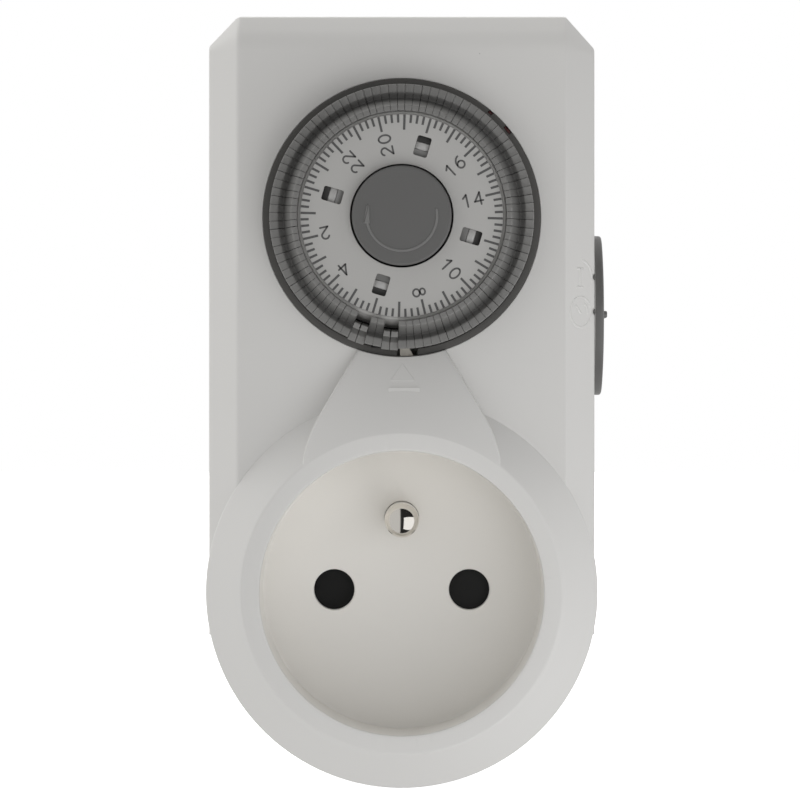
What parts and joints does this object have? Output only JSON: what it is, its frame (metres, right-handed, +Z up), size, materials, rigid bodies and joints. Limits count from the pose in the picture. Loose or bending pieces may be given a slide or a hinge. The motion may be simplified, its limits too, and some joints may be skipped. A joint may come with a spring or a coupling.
{
  "type": "plug-in mechanical timer switch with earthed socket outlet",
  "caption": "Plug-in mechanical 24 hour timer switch: a dial ringed by small tappets above an earthed round socket, with a plug on its back and a round selector on its right side",
  "frame": {"origin": "centre of the plug's end face, midway between its two round pins", "axes": "+Y points into the wall socket, +Z is up along the housing, +X is the right side as the user sees it"},
  "size_m": [0.0559, 0.0677, 0.1075],
  "materials": {
    "pale_shell": "moulded, fine texture",
    "dark_grey": "moulded, fine texture",
    "tappet_grey": "moulded, smooth",
    "plate_grey": "moulded and printed",
    "cream": "moulded",
    "black_plastic": "moulded",
    "natural": "moulded, undyed",
    "nickel": "nickel plated, polished",
    "brass": "stamped",
    "copper": "stamped",
    "steel": "turned, zinc plated"
  },
  "bodies": {
    "housing": {"front_shell": "pale_shell", "rear_shell": "pale_shell", "rear_screw_1": "steel", "rear_screw_2": "steel", "rear_screw_3": "steel", "rear_screw_4": "steel", "plug_pin_live": "nickel", "plug_pin_neutral": "nickel", "plug_earth_sleeve": "brass", "earth_clip_top": "nickel", "earth_clip_bottom": "nickel", "earth_strap": "brass", "socket_earth_pin": "nickel", "neutral_contact": "brass", "live_contact": "brass", "live_strip": "copper", "load_strip": "copper", "shutter_guide": "natural", "shutter_spring": "steel", "dial_bezel": "dark_grey", "time_pointer": "cream", "dial_axle": "steel", "axle_clip": "steel", "carrier_plate": "natural", "idler_spindle": "steel", "motor": "steel", "lever_pin": "steel"},
    "dial": {"dial_drum": "tappet_grey", "dial_plate": "plate_grey", "dial_knob": "dark_grey", "dial_gear": "natural"},
    "tappet_1": {"tappet_1": "tappet_grey"},
    "tappet_2": {"tappet_2": "tappet_grey"},
    "tappet_3": {"tappet_3": "tappet_grey"},
    "tappet_4": {"tappet_4": "tappet_grey"},
    "tappet_5": {"tappet_5": "tappet_grey"},
    "tappet_6": {"tappet_6": "tappet_grey"},
    "tappet_7": {"tappet_7": "tappet_grey"},
    "tappet_8": {"tappet_8": "tappet_grey"},
    "tappet_9": {"tappet_9": "tappet_grey"},
    "tappet_10": {"tappet_10": "tappet_grey"},
    "idler": {"idler_wheel": "natural", "idler_pinion": "natural"},
    "motor_output": {"motor_pinion": "brass"},
    "lever": {"switch_lever": "natural", "moving_contact": "nickel"},
    "selector": {"selector_knob": "dark_grey", "selector_cam": "natural"},
    "shutter": {"shutter": "black_plastic"}
  },
  "joints": [
    {"name": "dial_turn", "type": "hinge", "parent": "housing", "child": "dial", "pos_m": [0, -0.045, 0.052], "axis": [0, 1, 0], "continuous": true},
    {"name": "tappet_1_tilt", "type": "hinge", "parent": "dial", "child": "tappet_1", "pos_m": [0.00115, -0.0443, 0.03564], "axis": [0.9975, 0, 0.0702], "range_deg": [0, 22]},
    {"name": "tappet_2_tilt", "type": "hinge", "parent": "dial", "child": "tappet_2", "pos_m": [0.00008, -0.0443, 0.0356], "axis": [1, 0, 0.0048], "range_deg": [0, 22]},
    {"name": "tappet_3_tilt", "type": "hinge", "parent": "dial", "child": "tappet_3", "pos_m": [-0.00099, -0.0443, 0.03563], "axis": [0.9982, 0, -0.0606], "range_deg": [-22, 0]},
    {"name": "tappet_4_tilt", "type": "hinge", "parent": "dial", "child": "tappet_4", "pos_m": [-0.00206, -0.0443, 0.03573], "axis": [0.9921, 0, -0.1258], "range_deg": [-22, 0]},
    {"name": "tappet_5_tilt", "type": "hinge", "parent": "dial", "child": "tappet_5", "pos_m": [-0.00312, -0.0443, 0.0359], "axis": [0.9817, 0, -0.1904], "range_deg": [0, 22]},
    {"name": "tappet_6_tilt", "type": "hinge", "parent": "dial", "child": "tappet_6", "pos_m": [-0.00417, -0.0443, 0.03614], "axis": [0.9672, 0, -0.2542], "range_deg": [0, 22]},
    {"name": "tappet_7_tilt", "type": "hinge", "parent": "dial", "child": "tappet_7", "pos_m": [-0.0052, -0.0443, 0.03644], "axis": [0.9485, 0, -0.3169], "range_deg": [-22, 0]},
    {"name": "tappet_8_tilt", "type": "hinge", "parent": "dial", "child": "tappet_8", "pos_m": [-0.0062, -0.0443, 0.03682], "axis": [0.9257, 0, -0.3782], "range_deg": [-22, 0]},
    {"name": "tappet_9_tilt", "type": "hinge", "parent": "dial", "child": "tappet_9", "pos_m": [-0.00718, -0.0443, 0.03726], "axis": [0.899, 0, -0.438], "range_deg": [0, 22]},
    {"name": "tappet_10_tilt", "type": "hinge", "parent": "dial", "child": "tappet_10", "pos_m": [-0.00813, -0.0443, 0.03776], "axis": [0.8684, 0, -0.4958], "range_deg": [0, 22]},
    {"name": "idler_turn", "type": "hinge", "parent": "housing", "child": "idler", "pos_m": [0, -0.029, 0.033], "axis": [0, 1, 0], "continuous": true},
    {"name": "motor_turn", "type": "hinge", "parent": "housing", "child": "motor_output", "pos_m": [-0.01339, -0.0265, 0.03536], "axis": [0, 1, 0], "continuous": true},
    {"name": "lever_press", "type": "hinge", "parent": "housing", "child": "lever", "pos_m": [0.0064, -0.0356, 0.024], "axis": [-1, 0, 0], "range_deg": [0, 3]},
    {"name": "selector_turn", "type": "hinge", "parent": "housing", "child": "selector", "pos_m": [0.0272, -0.028, 0.0386], "axis": [-1, 0, 0], "range_deg": [0, 25]},
    {"name": "shutter_slide", "type": "slide", "parent": "housing", "child": "shutter", "axis": [0, 0, -1], "range_m": [0, 0.0068], "stiffness_N_per_m": 60, "springref_m": -0.002, "deforming": ["shutter_spring"]}
  ],
  "couplings": [
    {"joint": "idler_turn", "follows": "dial_turn", "ratio": -6},
    {"joint": "motor_turn", "follows": "dial_turn", "ratio": 24}
  ]
}
